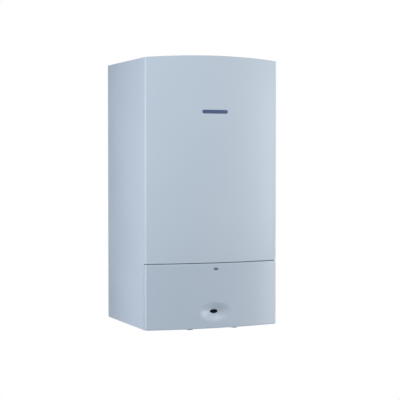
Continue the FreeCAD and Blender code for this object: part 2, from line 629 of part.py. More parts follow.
    piece("light_guide", rod("guide", "y", ("0", "dish_level"), (f"-({FASCIA} + guide_reach)", f"-{BOARD}"),
                             "guide_radius"))
    hub = (GLAND, f"-({CONTROL_BACK} + gland_setback)")
    gland = rod("gland_body", "z", hub, ("control_base - gland_drop", "control_base"), "gland_radius")
    bore = rod("gland_hole", "z", hub, ("control_base - gland_drop - cut_margin",
                                        "control_base - control_wall"), "gland_bore")
    piece("cable_gland", cut("gland", gland, [bore]))
    gauge()


def gauge():
    rim_front = f"({FASCIA} + gauge_rim_height)"
    floor = f"({FASCIA_BACK} - gauge_depth)"
    inside = "(gauge_radius - gauge_wall)"
    case_path = [("0", f"-{floor}"), ("0", f"-({floor} + gauge_wall + spindle_length)"),
                 ("spindle_radius", f"-({floor} + gauge_wall + spindle_length)"),
                 ("spindle_radius", f"-({floor} + gauge_wall)"),
                 (inside, f"-({floor} + gauge_wall)"), (inside, f"-{rim_front}"),
                 ("gauge_radius + gauge_rim", f"-{rim_front}"),
                 ("gauge_radius + gauge_rim", f"-{FASCIA}"), ("gauge_radius", f"-{FASCIA}"),
                 ("gauge_radius", f"-{floor}")]
    piece("gauge_case", turned("gauge_cup", case_path, GAUGE, "0", "knob_row"))
    level = f"({floor} + gauge_wall + needle_lift)"
    depth = (f"-({level} + needle_wall)", f"-{level}")
    centre = (GAUGE, "knob_row")
    hub = rod("needle_boss", "y", centre, depth, "needle_hub")
    pointer = block("pointer", (f"{GAUGE} - needle_width / 2", f"{GAUGE} + needle_width / 2"), depth,
                    ("knob_row", "knob_row + needle_length"))
    bore = rod("needle_bore", "y", centre, (f"{depth[0]} - cut_margin", f"{depth[1]} + cut_margin"),
               "spindle_radius + running_gap")
    piece("gauge_needle", cut("needle", fuse("needle_whole", [hub, pointer]), [bore]))
    piece("gauge_glass", rod("glass", "y", centre,
                             (f"-({rim_front} - gauge_glass_inset)",
                              f"-({rim_front} - gauge_glass_inset - gauge_glass_wall)"),
                             f"{inside} - fit_gap"))


# Water side

def tube_y(index):
    return f"(-{CHAMBER_MIDDLE} + {(TUBES - 1) / 2 - index} * {TUBE_PITCH})"


def water():
    tails = []
    seat = f"({BASE} + bracket_wall)"
    for index in range(-2, 3):
        centre = (f"{index} * tail_pitch", TAIL)
        spigot = rod("tail_spigot", "z", centre, ("-tail_drop", "0"), "tail_radius")
        shank = rod("tail_outer", "z", centre, ("0", "tail_top"), "tail_shank")
        collar = rod("tail_ring", "z", centre, (seat, f"{seat} + tail_collar_height"), "tail_collar")
        bore = rod("tail_bore", "z", centre, ("-tail_drop - cut_margin", "tail_top + cut_margin"),
                   "tail_shank - tail_wall")
        tails.append(cut("tail", fuse("tail_solid", [spigot, shank, collar]), [bore]))
    piece("connection_tails", group("tails", tails))

    def on_tail(index, width, depth, height, name):
        return block(name, (f"{index} * tail_pitch - {width} / 2",
                            f"{index} * tail_pitch + {width} / 2"),
                     (f"{TAIL} - {depth} / 2", f"{TAIL} + {depth} / 2"),
                     ("tail_top", f"tail_top + {height}"))

    piece("plate_exchanger", on_tail(-1, "plate_width", "plate_depth", "plate_height", "plates"))

    frame = on_tail(-2, "diverter_width", "diverter_width", "diverter_height", "diverter_body")
    neck = rod("diverter_neck_rod", "x", (TAIL, "tail_top + neck_rise"),
               ("-2 * tail_pitch", "-tail_pitch - plate_width / 2"), "diverter_neck")
    stem_level = "(tail_top + actuator_rise)"
    front = "(tail_setback + diverter_width / 2)"
    stem_bore = rod("diverter_bore", "y", ("-2 * tail_pitch", stem_level),
                    (f"-({front} + cut_margin)", f"-({front} - stem_bore)"),
                    "stem_radius + running_gap")
    piece("three_way_valve", cut("diverter", fuse("diverter_whole", [frame, neck]), [stem_bore]))
    motor = block("actuator_block", ("-2 * tail_pitch - actuator_width / 2",
                                     "-2 * tail_pitch + actuator_width / 2"),
                  (f"-({front} + actuator_depth)", f"-{front}"),
                  (f"{stem_level} - actuator_height / 2", f"{stem_level} + actuator_height / 2"))
    stem_tail = f"({front} - stem_bore + stem_end)"
    motor_bore = rod("actuator_bore", "y", ("-2 * tail_pitch", stem_level),
                     (f"-({stem_tail} + stem_length + stem_travel + stem_end)", f"-({front} - cut_margin)"),
                     "stem_radius + running_gap")
    piece("three_way_actuator", cut("actuator", motor, [motor_bore]))
    piece("three_way_stem", rod("diverter_stem", "y", ("-2 * tail_pitch", stem_level),
                                (f"-({stem_tail} + stem_length)", f"-{stem_tail}"), "stem_radius"))

    end = f"({front} + relief_length)"
    relief_line = ("-2 * tail_pitch", "tail_top + relief_rise")
    seat = rod("relief_body", "y", relief_line, (f"-{end}", f"-{front}"), "relief_radius")
    spigot = rod("relief_spigot", "y", relief_line, (f"-({end} + relief_stub_length)", f"-{end}"),
                 "relief_stub")
    piece("relief_valve", fuse("relief", [seat, spigot]))
    knob = rod("relief_cap", "y", relief_line,
               (f"-({end} + relief_lift + relief_knob_length)", f"-({end} + relief_lift)"),
               "relief_knob_radius")
    socket = rod("relief_socket", "y", relief_line,
                 (f"-({end} + relief_stub_length + relief_lift)", f"-({end} - cut_margin)"),
                 "relief_stub + running_gap")
    piece("relief_knob", cut("relief_handle", knob, [socket]))

    cold = ("tail_pitch", TAIL)
    barrel = rod("sensor_barrel", "z", cold, ("tail_top", "tail_top + sensor_height"), "sensor_radius")
    hollow = rod("sensor_hollow", "z", cold, ("tail_top - cut_margin",
                                              "tail_top + sensor_height + cut_margin"), "sensor_bore")
    bar = block("sensor_spider", ("tail_pitch - sensor_bore - sensor_bar / 8",
                                  "tail_pitch + sensor_bore + sensor_bar / 8"),
                (f"{TAIL} - sensor_bar / 2", f"{TAIL} + sensor_bar / 2"),
                ("tail_top + sensor_bar", "tail_top + 2 * sensor_bar"))
    pin = rod("sensor_spindle", "z", cold, ("tail_top + sensor_bar",
                                            "tail_top + 2 * sensor_bar + turbine_lift + turbine_height"),
              "sensor_pin")
    piece("flow_sensor", fuse("sensor", [cut("sensor_tube", barrel, [hollow]), bar, pin]))
    start = "(tail_top + 2 * sensor_bar + turbine_lift)"
    rise = (start, f"{start} + turbine_height")
    spokes = [rod("turbine_boss", "z", cold, rise, "turbine_hub")]
    spokes.append(block("turbine_vane", ("tail_pitch - turbine_tip", "tail_pitch + turbine_tip"),
                        (f"{TAIL} - turbine_blade / 2", f"{TAIL} + turbine_blade / 2"), rise))
    spokes.append(block("turbine_cross", ("tail_pitch - turbine_blade / 2",
                                          "tail_pitch + turbine_blade / 2"),
                        (f"{TAIL} - turbine_tip", f"{TAIL} + turbine_tip"), rise))
    eye = rod("turbine_eye", "z", cold, (f"{start} - cut_margin", f"{rise[1]} + cut_margin"),
              "sensor_pin + running_gap")
    piece("flow_turbine", cut("turbine", fuse("turbine_whole", spokes), [eye]))

    top = "tail_top + gas_height + coil_height + cold_rise"
    tube("cold_water_pipe", [("tail_pitch", TAIL, "tail_top + sensor_height"), ("tail_pitch", TAIL, top),
                             ("-tail_pitch + plate_width / 2", TAIL, top)], "cold_bend", "cold_radius",
         "pipe_wall")
    pump()
    stub = f"({CHAMBER} + pipe_stub)"
    tube("flow_pipe", [(f"-{stub}", tube_y(TUBES - 1), TUBE_LEVEL),
                       (f"-{RISER}", tube_y(TUBES - 1), TUBE_LEVEL),
                       (f"-{RISER}", tube_y(TUBES - 1), "riser_level"), (f"-{RISER}", TAIL, "riser_level"),
                       ("-2 * tail_pitch", TAIL, "riser_level"),
                       ("-2 * tail_pitch", TAIL, "tail_top + diverter_height")],
         "pipe_bend", "pipe_radius", "pipe_wall")
    tube("return_pipe", [(PUMP, TAIL, f"{PUMP_LEVEL} + pump_reach"), (PUMP, TAIL, "riser_level"),
                         (RISER, TAIL, "riser_level"),
                         (RISER, tube_y(0), "riser_level"), (RISER, tube_y(0), TUBE_LEVEL),
                         (stub, tube_y(0), TUBE_LEVEL)],
         "pipe_bend", "pipe_radius", "pipe_wall")
    vessel()


def pump():
    centre = (PUMP, PUMP_LEVEL)
    back, front = f"({TAIL} + pump_half)", f"({TAIL} - pump_half)"
    disc = rod("volute_disc", "y", centre, (front, back), "pump_radius")
    necks = rod("volute_necks", "z", (PUMP, TAIL), ("tail_top", f"{PUMP_LEVEL} + pump_reach"), "pump_neck")
    seat_x = f"({PUMP} - vent_offset)"
    seat = block("vent_seat_block", (f"{seat_x} - vent_seat", f"{seat_x} + vent_seat"),
                 (f"{TAIL} - vent_seat", f"{TAIL} + vent_seat"),
                 (PUMP_LEVEL, f"{PUMP_LEVEL} + pump_radius"))
    room = rod("impeller_chamber", "y", centre, (f"{front} - cut_margin", f"{front} + impeller_depth"),
               "impeller_room")
    piece("pump_volute", cut("volute", fuse("volute_whole", [disc, necks, seat]), [room]))
    can = rod("motor_can", "y", centre, (f"{front} - motor_length", front), "motor_radius")
    bore = rod("motor_bore", "y", centre, (f"{front} - shaft_reach - impeller_lift",
                                           f"{front} + cut_margin"), "shaft_radius + running_gap")
    piece("pump_motor", cut("motor", can, [bore]))
    shaft = rod("shaft", "y", centre, (f"{front} - shaft_reach",
                                       f"{front} + impeller_lift + impeller_wall"), "shaft_radius")
    disc_span = (f"{front} + impeller_lift", f"{front} + impeller_lift + impeller_wall")
    vane_span = (f"{front} + impeller_lift", f"{disc_span[1]} + impeller_vane")
    wheel = [shaft, rod("wheel", "y", centre, disc_span, "impeller_radius"),
             rod("wheel_hub", "y", centre, vane_span, "2 * shaft_radius")]
    wheel.append(block("vane_flat", (f"{PUMP} - impeller_radius * 0.95",
                                     f"{PUMP} + impeller_radius * 0.95"), vane_span,
                       (f"{PUMP_LEVEL} - vane_wall / 2", f"{PUMP_LEVEL} + vane_wall / 2")))
    wheel.append(block("vane_upright", (f"{PUMP} - vane_wall / 2", f"{PUMP} + vane_wall / 2"), vane_span,
                       (f"{PUMP_LEVEL} - impeller_radius * 0.95",
                        f"{PUMP_LEVEL} + impeller_radius * 0.95")))
    piece("pump_rotor", fuse("rotor", wheel))
    foot = f"({PUMP_LEVEL} + pump_radius)"
    bottle = rod("vent_bottle", "z", (seat_x, TAIL), (foot, f"{foot} + vent_height"), "vent_radius")
    cap = rod("vent_top", "z", (seat_x, TAIL),
              (f"{foot} + vent_height", f"{foot} + vent_height + vent_cap_height"), "vent_cap")
    piece("air_vent", fuse("vent", [bottle, cap]))


def vessel():
    rear = "(chassis_wall + vessel_gap)"
    front = f"({rear} + vessel_depth)"

    def drum(name, shrink):
        radius, edge = f"(vessel_radius - {shrink})", f"(vessel_edge - {shrink})"
        low, high = f"({rear} + {shrink})", f"({front} - {shrink})"
        bend = f"{edge} * (1 - sqrt(0.5))"
        path = [("0", f"-{low}"), (f"{radius} - {edge}", f"-{low}"),
                (radius, f"-({low} + {edge})", f"{radius} - {bend}", f"-({low} + {bend})"),
                (radius, f"-({high} - {edge})"),
                (f"{radius} - {edge}", f"-{high}", f"{radius} - {bend}", f"-({high} - {bend})"),
                ("0", f"-{high}")]
        return turned(name, path, "0", "0", "vessel_level")

    stud = rod("vessel_boss", "y", ("0", "vessel_level"), (f"-({rear} + vessel_wall / 2)", "-chassis_wall"),
               "vessel_stud")
    foot = "(vessel_level - vessel_radius - vessel_nipple_drop)"
    nipple = rod("nipple", "z", ("0", "-vessel_pipe_setback"), (foot, "vessel_level - vessel_radius / 2"),
                 "vessel_nipple")
    shell = fuse("vessel_whole", [drum("drum", "0"), stud, nipple])
    piece("expansion_vessel", cut("vessel", shell, [drum("drum_room", "vessel_wall")]))
    tube("vessel_pipe", [(PUMP, f"{TAIL} + pump_half", PUMP_LEVEL),
                         (PUMP, "-vessel_pipe_setback", PUMP_LEVEL),
                         (PUMP, "-vessel_pipe_setback", "vessel_pipe_level"),
                         ("0", "-vessel_pipe_setback", "vessel_pipe_level"),
                         ("0", "-vessel_pipe_setback", foot)], "vessel_pipe_bend", "vessel_pipe_radius",
         "pipe_wall")


# Gas side

def gas():
    front = "(tail_setback + gas_depth / 2)"
    piece("gas_valve", block("valve_block", both("gas_width / 2"), (f"-{front}", f"{TAIL} + gas_depth / 2"),
                             ("tail_top", "tail_top + gas_height")))
    top = "(tail_top + gas_height)"
    coils = [rod("coil", "z", (f"{side}coil_spacing / 2", TAIL), (top, f"{top} + coil_height"),
                 "coil_radius") for side in ("-", "")]
    piece("gas_valve_coils", group("coils", coils))

    manifold_y = f"-({CHAMBER_FRONT} + manifold_radius)"
    manifold_level = f"({RAIL} - bar_height / 2)"
    behind = f"-({CONTROL_BACK} - feed_gap)"
    tube("burner_feed_pipe", [("0", f"-{front}", "tail_top + gas_outlet_rise"),
                              ("0", behind, "tail_top + gas_outlet_rise"),
                              ("0", behind, FEED_LEVEL), ("0", manifold_y, FEED_LEVEL),
                              ("0", manifold_y, f"{manifold_level} - manifold_radius")], "feed_bend",
         "feed_radius", "pipe_wall")

    places = [f"{index - (BLADES - 1) / 2} * {BLADE_PITCH}" for index in range(BLADES)]
    bar_rear = f"({CHAMBER_FRONT} - bar_depth)"
    header = rod("header", "x", (manifold_y, manifold_level), both(f"({CHAMBER} - manifold_inset)"),
                 "manifold_radius")
    injectors = [rod("injector", "y", (x, manifold_level), (manifold_y, f"-({bar_rear} + injector_gap)"),
                     "injector_radius") for x in places]
    piece("burner_manifold", fuse("manifold", [header] + injectors))

    span = both(f"({CHAMBER} + bar_lap)")
    height = (f"{RAIL} - bar_height", RAIL)
    bar = block("front_bar", span, (f"-{CHAMBER_FRONT}", f"-{bar_rear}"), height)
    holes = [rod("injector_way", "y", (x, manifold_level),
                 (f"-({CHAMBER_FRONT} + cut_margin)", f"-({bar_rear} - cut_margin)"), "injector_hole")
             for x in places]
    rear_bar = block("rear_bar", span, ("-(chamber_setback + bar_depth)", "-chamber_setback"), height)
    piece("burner_frame", group("burner_bars", [cut("pierced_bar", bar, holes), rear_bar]))
    piece("burner_blades", group("blades", [blade(x, bar_rear) for x in places]))
    electrodes = [rod("electrode", "y", electrode_line(index),
                      (f"-({CHAMBER_FRONT} + electrode_front)", f"-({CHAMBER_FRONT} - electrode_back)"),
                      "electrode_radius") for index in (-1, 0, 1)]
    piece("electrodes", group("electrode_set", electrodes))


def blade(x, front):
    """A hollow burner blade with its mouth at the front bar."""
    rear, top = "-(chamber_setback + bar_depth)", f"{RAIL} - blade_drop"
    skin = block("blade_skin_box", (f"{x} - blade_wall / 2", f"{x} + blade_wall / 2"), (f"-{front}", rear),
                 (f"{top} - blade_height", top))
    room = block("blade_room", (f"{x} - blade_wall / 2 + blade_skin", f"{x} + blade_wall / 2 - blade_skin"),
                 (f"-{front} - cut_margin", f"{rear} - blade_skin"),
                 (f"{top} - blade_height + blade_skin", f"{top} - blade_skin"))
    return cut("blade", skin, [room])


def electrode_line(index):
    return f"{index} * electrode_spacing", f"{RAIL} + rail_wall + electrode_rise"


# Combustion chamber, exchanger, hood and flue

def box_tube(name, x_half, y, z, wall, margin="cut_margin"):
    outer = block(name + "_outer", both(x_half), y, z)
    inner = block(name + "_inner", both(f"({x_half} - {wall})"), (f"{y[0]} + {wall}", f"{y[1]} - {wall}"),
                  (f"{z[0]} - {margin}", f"{z[1]} + {margin}"))
    return outer, inner


def heat():
    deep = (f"-{CHAMBER_FRONT}", "-chamber_setback")
    base = f"({RAIL} + rail_wall)"
    outer, inner = box_tube("chamber", CHAMBER, deep, (base, EXCHANGER_BASE), "chamber_wall")
    ways = [rod("electrode_way", "y", electrode_line(index),
                (f"{deep[0]} - cut_margin", f"{deep[0]} + 2 * cut_margin"),
                "electrode_radius + fit_gap") for index in (-1, 0, 1)]
    piece("combustion_chamber", cut("chamber_case", outer, [inner] + ways))

    room = (f"{deep[0]} + chamber_wall", f"{deep[1]} - chamber_wall")
    side = f"({CHAMBER} - chamber_wall)"
    level = (base, EXCHANGER_BASE)
    front_board = block("front_board", both(side), (room[0], f"{room[0]} + lining_wall"), level)
    boards = [cut("pierced_board", front_board, ways),
              block("rear_board", both(side), (f"{room[1]} - lining_wall", room[1]), level)]
    between = (f"{room[0]} + lining_wall", f"{room[1]} - lining_wall")
    boards.append(block("left_board", (f"-{side}", f"-({side} - lining_wall)"), between, level))
    boards.append(block("right_board", (f"{side} - lining_wall", side), between, level))
    piece("chamber_insulation", group("boards", boards))

    outer, inner = box_tube("exchanger", CHAMBER, deep, (EXCHANGER_BASE, HOOD_BASE), "exchanger_wall")
    lines = [rod("tube_way", "x", (tube_y(index), TUBE_LEVEL), both(f"({CHAMBER} + cut_margin)"),
                 "pipe_radius + fin_gap")
             for index in range(TUBES)]
    piece("exchanger_frame", cut("exchanger_case", outer, [inner] + lines))

    stub = f"({CHAMBER} + pipe_stub)"
    path = [(stub, tube_y(0), TUBE_LEVEL)]
    for index in range(TUBES):
        turn = f"-({stub} + {TUBE_PITCH} / 2)" if index % 2 == 0 else f"{stub} + {TUBE_PITCH} / 2"
        if index < TUBES - 1:
            path += [(turn, tube_y(index), TUBE_LEVEL), (turn, tube_y(index + 1), TUBE_LEVEL)]
    path.append((f"-{stub}", tube_y(TUBES - 1), TUBE_LEVEL))
    tube("exchanger_tubes", path, f"{TUBE_PITCH} / 2", "pipe_radius", "pipe_wall")

    inside = number(f"{CHAMBER} - exchanger_wall - fin_inset")
    pitch, wall = number("fin_pitch"), number("fin_wall")
    low = vector(("0", f"{deep[0]} + exchanger_wall + fin_gap", f"{EXCHANGER_BASE} + fin_inset"))
    high = vector(("0", f"{deep[1]} - exchanger_wall - fin_gap", f"{HOOD_BASE} - fin_inset"))
    fin = Part.makeBox(wall, high.y - low.y, high.z - low.z, Vector(-wall / 2, low.y, low.z))
    for index in range(TUBES):
        centre = vector(("0", tube_y(index), TUBE_LEVEL)) - Vector(wall, 0, 0)
        fin = fin.cut(Part.makeCylinder(number("pipe_radius + fin_gap"), 2 * wall, centre, Vector(1, 0, 0)))
    count = int(inside // pitch)
    solids("exchanger_fins", [fin.translated(Vector(step * pitch, 0, 0))
                              for step in range(-count, count + 1)])

    middle = f"-{CHAMBER_MIDDLE}"
    skirt, skirt_room = box_tube("skirt", CHAMBER, deep, (HOOD_BASE, HOOD_SKIRT), "hood_wall", "hood_wall")
    slot_level = (f"{HOOD_BASE} + hood_slot_rise", f"{HOOD_BASE} + hood_slot_rise + hood_slot_height")
    slot = block("relief_slot", both(f"({CHAMBER} - hood_slot_inset)"),
                 ("-chamber_setback - hood_slot_inset", "-chamber_setback + cut_margin"),
                 slot_level)
    roof = wedge("roof", "0")
    roof_room = wedge("roof_room", "hood_wall")
    piece("draught_hood", cut("hood", fuse("hood_whole", [skirt, roof]), [skirt_room, slot, roof_room]))

    plate = block("collar_plate", both("hood_mouth"), (f"{middle} - hood_mouth", f"{middle} + hood_mouth"),
                  (HOOD_TOP, f"{HOOD_TOP} + collar_flange"))
    end = "(casing_height + crown_rise + collar_rise)"
    pipe = rod("collar_pipe", "z", ("0", middle), (HOOD_TOP, end), "flue_radius + collar_wall")
    way = rod("collar_way", "z", ("0", middle), (f"{HOOD_TOP} - cut_margin", f"{end} + cut_margin"),
              "flue_radius")
    piece("flue_collar", cut("collar", fuse("collar_whole", [plate, pipe]), [way]))
    piece("spillage_sensor", rod("spill_switch", "y", ("spill_place", f"{HOOD_BASE} + spill_rise"),
                                 ("-chamber_setback", "-(chamber_setback - spill_length)"), "spill_radius"))


def wedge(name, shrink):
    """A hood roof that narrows from the chamber's plan to the square flue mouth."""
    roof = doc.addObject("Part::Wedge", name)
    half_depth = f"(({CHAMBER_FRONT} - chamber_setback) / 2 - {shrink})"
    half_width = f"({CHAMBER} - {shrink})"
    mouth = f"(hood_mouth - {shrink})"
    spans = {"Ymin": "0", "Ymax": "hood_taper", "Xmin": f"-{half_width}", "Xmax": half_width,
             "Zmin": f"-{half_depth}",
             "Zmax": half_depth, "X2min": f"-{mouth}", "X2max": mouth, "Z2min": f"-{mouth}", "Z2max": mouth}
    for side, text in spans.items():
        setattr(roof, side, number(text))
        if text != "0":
            roof.setExpression(side, bound(text))
    roof.Placement = Placement(Vector(), Rotation(Vector(1, 0, 0), 90))
    return place(roof, "0", f"-{CHAMBER_MIDDLE}", HOOD_SKIRT)


casing()
chassis()
flap()
controls()
water()
gas()
heat()
doc.recompute()

failed = [thing.Label for thing in doc.Objects if "Invalid" in thing.State or "Error" in thing.State]
failed += [thing.Label for thing in pieces
           if thing.Shape.isNull() or not thing.Shape.isValid() or not thing.Shape.Solids]
if failed:
    raise RuntimeError("not built: " + ", ".join(failed))

os.makedirs("parts", exist_ok=True)
for thing in pieces:
    thing.Shape.exportStep(f"parts/{thing.Label}.step")
print(len(pieces), "sub-parts written")
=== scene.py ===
import math

import bmesh
import bpy
from mathutils import Matrix, Vector


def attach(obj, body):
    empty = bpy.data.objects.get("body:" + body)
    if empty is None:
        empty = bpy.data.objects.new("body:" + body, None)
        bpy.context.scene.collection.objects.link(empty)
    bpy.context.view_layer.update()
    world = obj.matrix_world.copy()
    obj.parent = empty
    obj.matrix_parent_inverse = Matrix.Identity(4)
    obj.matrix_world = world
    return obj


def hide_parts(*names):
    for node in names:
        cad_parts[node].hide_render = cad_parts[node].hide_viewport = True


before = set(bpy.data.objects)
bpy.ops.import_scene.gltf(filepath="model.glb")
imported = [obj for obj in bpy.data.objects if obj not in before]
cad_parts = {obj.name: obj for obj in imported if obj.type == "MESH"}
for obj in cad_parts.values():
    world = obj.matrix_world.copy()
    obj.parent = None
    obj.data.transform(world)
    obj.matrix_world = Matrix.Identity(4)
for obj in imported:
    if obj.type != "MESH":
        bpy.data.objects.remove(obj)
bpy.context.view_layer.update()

scene = bpy.context.scene


# Camera: a long lens to the left of the boiler and a little above its middle,
# turned so that the left side shows beside the bowed front.
looks_down, turned_right = 1.872, 22.093
camera = bpy.data.objects.new("camera", bpy.data.cameras.new("camera"))
camera.location = (-1.486, -3.933, 0.531)
camera.rotation_euler = (math.radians(90 - looks_down), 0, math.radians(-turned_right))
camera.data.lens = 109.54
camera.data.sensor_width = 36
scene.collection.objects.link(camera)
scene.camera = camera


# Jacket: one sheet of 1.2 mm steel folded round the front and both sides, powder coated in cool white.
# Its front is bowed, its upper edge arched, the lower edges are folded in, and two screws hold its feet.
def linear(code):
    """Linear RGBA of an sRGB hex code."""
    parts = [int(code[place:place + 2], 16) / 255 for place in (1, 3, 5)]
    return (*(part / 12.92 if part <= 0.04045 else ((part + 0.055) / 1.055) ** 2.4 for part in parts), 1.0)


def plug(finish, node, sockets):
    """Links each input of a node to a socket, or sets it to a value."""
    for name, value in sockets.items():
        if isinstance(value, bpy.types.NodeSocket):
            finish.node_tree.links.new(value, node.inputs[name])
        else:
            node.inputs[name].default_value = value
    return node


def add(finish, kind, sockets, **settings):
    """Adds a shader node with its settings and inputs."""
    node = finish.node_tree.nodes.new("ShaderNode" + kind)
    for name, value in settings.items():
        setattr(node, name, value)
    return plug(finish, node, sockets)


def blank(name):
    """A new material with its shader."""
    finish = bpy.data.materials.new(name)
    finish.use_nodes = True
    return finish


def shader(finish):
    return finish.node_tree.nodes["Principled BSDF"]


def spot(finish):
    """The place on the object, in its own coordinates."""
    return add(finish, "TexCoord", {}).outputs["Object"]


def noise(finish, place, lump, detail=2.0):
    """Noise with lumps of so many mm."""
    return add(finish, "TexNoise", {"Vector": place, "Scale": 1000 / lump, "Detail": detail}).outputs["Fac"]


def mixed(finish, share, first, second):
    """A colour between two colours; the numbers are the colour sockets of the node."""
    return add(finish, "Mix", {0: share, 6: first, 7: second}, data_type="RGBA").outputs[2]


def ranged(finish, value, low, high, start=0.0, end=1.0):
    """Carries start to end over to low to high."""
    return add(finish, "MapRange", {"Value": value, "From Min": start, "From Max": end, "To Min": low,
                                    "To Max": high}).outputs["Result"]


def coated(name, light, dark, grain, relief, roughness, patch=160, coat=0.0, coat_rough=0.12, specular=0.5):
    """Paint or moulded plastic: slow change of tone over patch mm, fine relief of grain mm."""
    finish = blank(name)
    place = spot(finish)
    tone = noise(finish, place, patch, 3.0)
    grit = noise(finish, place, grain)
    bump = add(finish, "Bump", {"Height": grit, "Strength": relief, "Distance": grain * 0.0001})
    plug(finish, shader(finish), {
        "Base Color": mixed(finish, tone, linear(dark), linear(light)),
        "Roughness": ranged(finish, tone, roughness - 0.04, roughness + 0.04, 0.3, 0.7),
        "Normal": bump.outputs["Normal"], "Specular IOR Level": specular,
        "Coat Weight": coat, "Coat Roughness": coat_rough})
    return finish


def near_fold(finish, axis, edge, begins=0.0058, full=0.0038):
    """Share of a painted highlight that grows from 0 to 1 over the last millimetres before a folded edge on either
    side.
    """
    place = add(finish, "SeparateXYZ", {"Vector": spot(finish)}).outputs[axis]
    away = add(finish, "Math", {0: place}, operation="ABSOLUTE").outputs["Value"]
    return ranged(finish, away, 0.0, 1.0, edge - begins, edge - full)


def lighten(finish, share, code):
    """Mixes a second colour into the colour that a finish has; used here to paint highlights."""
    flat = shader(finish).inputs["Base Color"].links[0].from_socket
    plug(finish, shader(finish), {"Base Color": mixed(finish, share, flat, linear(code))})


def finished(name, form, finish, body, *nodes):
    """Turns a bmesh into a piece that rides on a body and may stand for CAD nodes."""
    for face in form.faces:
        face.smooth = True
    mesh = bpy.data.meshes.new(name)
    form.to_mesh(mesh)
    form.free()
    mesh.set_sharp_from_angle(angle=math.radians(38))
    mesh.materials.append(finish)
    thing = bpy.data.objects.new(name, mesh)
    scene.collection.objects.link(thing)
    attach(thing, body)
    if nodes:
        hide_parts(*nodes)
    return thing


def broken(thing, width):
    """Breaks the sharp edges of a piece by a small round."""
    bevel = thing.modifiers.new("edges", "BEVEL")
    bevel.width, bevel.segments, bevel.angle_limit = width, 2, math.radians(50)


def walled(thing, thickness, edge_round):
    """Gives an outer surface its wall, inwards, and breaks the wall's edges."""
    wall = thing.modifiers.new("wall", "SOLIDIFY")
    wall.thickness, wall.offset = thickness, -1
    broken(thing, edge_round)


def rise(offset, half_chord, peak):
    """Height of a shallow arc above its chord."""
    radius = (half_chord ** 2 + peak ** 2) / (2 * peak)
    return math.sqrt(max(radius ** 2 - offset ** 2, 0)) - (radius - peak)


def box(form, low, high):
    """Adds a cube between two corners and returns its vertices."""
    low, high = Vector(low), Vector(high)
    matrix = Matrix.Translation((low + high) / 2) @ Matrix.Diagonal((*(high - low), 1))
    return bmesh.ops.create_cube(form, size=1.0, matrix=matrix)["verts"]


def rounded(form, edges, radius, segments):
    bmesh.ops.bevel(form, geom=edges, offset=radius, offset_type="OFFSET", segments=segments, profile=0.5,
                    affect="EDGES", material=-1)


def lying(form, axis):
    """Edges that run along an axis."""
    return [edge for edge in form.edges
            if abs((edge.verts[0].co - edge.verts[1].co).normalized()[axis]) > 0.999]


def divided(form, edges, cuts):
    bmesh.ops.subdivide_edges(form, edges=edges, cuts=cuts, use_grid_fill=True)


def dropped(form, faces):
    bmesh.ops.delete(form, geom=faces, context="FACES")


X, Y, Z = range(3)
near = 1e-6
half, depth, height, corner = 0.225, 0.375, 0.850, 0.005
front_bow, crown, groove_top, side_front = 0.0246, 0.009, 0.2080, -0.359
hem_back, foot_reach, hem_round = -0.360, 0.207, 0.0014
sheet, sheet_round = 0.0012, 0.0004

# Powder coat: a smooth film with a faint orange peel of about 4 mm, drawn a little coarse so that it shows.
# Along the two front folds a painted highlight lightens the colour, standing in for the light that the rounded
# folds catch.
enamel = coated("powder_coated_steel", "#c2cfdc", "#becbd9", 4.0, 0.05, 0.4, patch=220, specular=0.3)
painted_fold_highlight = add(enamel, "Math", {0: near_fold(enamel, "X", half), 1: near_fold(enamel, "Y", depth)},
                 operation="MULTIPLY")
lighten(enamel, painted_fold_highlight.outputs["Value"], "#c7d4e1")

jacket = bmesh.new()
box(jacket, (-half, -depth, 0), (half, 0, height))
rounded(jacket, [edge for edge in lying(jacket, Z) if edge.verts[0].co.y < -depth + near], corner, 6)
dropped(jacket, [face for face in jacket.faces if abs(face.normal.z) > 0.9 or face.normal.y > 0.9])
divided(jacket, lying(jacket, X), 43)
for point, normal in (((0, 0, groove_top), (0, 0, 1)), ((0, side_front, 0), (0, 1, 0))):
    bmesh.ops.bisect_plane(jacket, geom=jacket.verts[:] + jacket.edges[:] + jacket.faces[:],
                           plane_co=point, plane_no=normal)
dropped(jacket, [face for face in jacket.faces if face.calc_center_median().y < side_front
                 and face.calc_center_median().z < groove_top])
hem = [edge for edge in lying(jacket, X) if abs(edge.verts[0].co.z - groove_top) < near]
feet = [edge for edge in lying(jacket, Y) if edge.verts[0].co.z < near and edge.verts[1].co.z < near]
for vert in jacket.verts:
    if vert.co.y < -depth + near:
        vert.co.y -= rise(vert.co.x, half - corner, front_bow)
    if vert.co.z > height - near:
        vert.co.z += rise(vert.co.x, half, crown)
for edges, axis, edge_place in ((hem, Y, hem_back), (feet, X, foot_reach)):
    for vert in bmesh.ops.extrude_edge_only(jacket, edges=edges)["geom"]:
        if isinstance(vert, bmesh.types.BMVert):
            vert.co[axis] = edge_place if axis == Y else math.copysign(edge_place, vert.co.x)
rounded(jacket, hem + feet, hem_round, 3)
jacket = finished("jacket_sheet", jacket, enamel, "boiler", "casing_jacket")
walled(jacket, sheet, sheet_round)


# Lid: an arched sheet of the same coated steel that lies inside the jacket's upper edge.
# It has a round hole for the flue and keeps its CAD shape.
def dress(finish, *nodes):
    """Gives CAD nodes a finish in place of their plain colour."""
    for node in nodes:
        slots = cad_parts[node].data.materials
        slots.clear()
        slots.append(finish)


dress(enamel, "top_cover")


